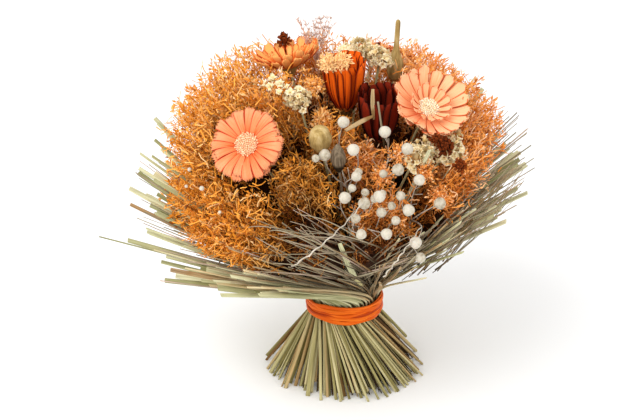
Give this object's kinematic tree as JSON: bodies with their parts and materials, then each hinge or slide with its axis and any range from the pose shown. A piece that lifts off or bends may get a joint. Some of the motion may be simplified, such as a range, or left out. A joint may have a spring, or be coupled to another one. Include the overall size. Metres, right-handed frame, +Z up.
{
  "type": "dried flower bouquet",
  "caption": "Hand-tied dome of dried flowers and dyed foliage in a straw collar, bound with raffia, standing on its own cut stems.",
  "frame": {"origin": "the flat cut end of the middle stem, on the surface that the bouquet stands on", "axes": "+Z up along the middle stem; -Y is the side with the berries, and +X is to the right when that side is faced"},
  "size_m": [0.3204, 0.3153, 0.2754],
  "materials": {
    "straw": "dry sage-green to tan straw, split and ribbed lengthwise, matt",
    "raffia": "bright orange dyed raffia, satin, with fine lengthwise fibres",
    "golden_foliage": "dyed golden-orange dried twiggy foliage, matt",
    "salmon_foliage": "dyed salmon-orange dried twiggy foliage, matt",
    "peach_petal": "papery peach petals, matt, paler at the middle",
    "rust_petal": "stiff rust-orange petals, ribbed lengthwise, slight sheen",
    "cream_floret": "cream papery florets, matt",
    "berry": "waxy off-white berries on pale grey twigs",
    "pod": "dry tan seed pod, faintly ribbed, matt"
  },
  "bodies": {
    "root": {"berry_sprig_high": "berry", "berry_sprig_low": "berry", "berry_sprig_middle": "berry", "berry_sprig_side": "berry", "button_flower": "cream_floret", "golden_spray_1": "golden_foliage", "golden_spray_10": "golden_foliage", "golden_spray_11": "golden_foliage", "golden_spray_2": "golden_foliage", "golden_spray_3": "golden_foliage", "golden_spray_4": "golden_foliage", "golden_spray_5": "golden_foliage", "golden_spray_6": "golden_foliage", "golden_spray_7": "golden_foliage", "golden_spray_8": "golden_foliage", "golden_spray_9": "golden_foliage", "peach_bloom_left": "peach_petal", "peach_bloom_rear": "peach_petal", "peach_bloom_right": "peach_petal", "peach_bloom_top": "peach_petal", "pod_front": "pod", "pod_top": "pod", "raffia_tie": "raffia", "rust_bloom_deep": "rust_petal", "rust_bloom_front": "rust_petal", "rust_bloom_rear": "rust_petal", "salmon_spray_1": "salmon_foliage", "salmon_spray_10": "salmon_foliage", "salmon_spray_2": "salmon_foliage", "salmon_spray_3": "salmon_foliage", "salmon_spray_4": "salmon_foliage", "salmon_spray_5": "salmon_foliage", "salmon_spray_6": "salmon_foliage", "salmon_spray_7": "salmon_foliage", "salmon_spray_8": "salmon_foliage", "salmon_spray_9": "salmon_foliage", "statice_back": "cream_floret", "statice_far_right": "cream_floret", "statice_left": "cream_floret", "statice_right": "cream_floret", "statice_top": "cream_floret", "straw_sheaf_1": "straw", "straw_sheaf_2": "straw", "straw_sheaf_3": "straw", "straw_sheaf_4": "straw", "straw_sheaf_5": "straw", "straw_sheaf_6": "straw", "straw_sheaf_7": "straw", "straw_sheaf_8": "straw"}
  },
  "joints": []
}
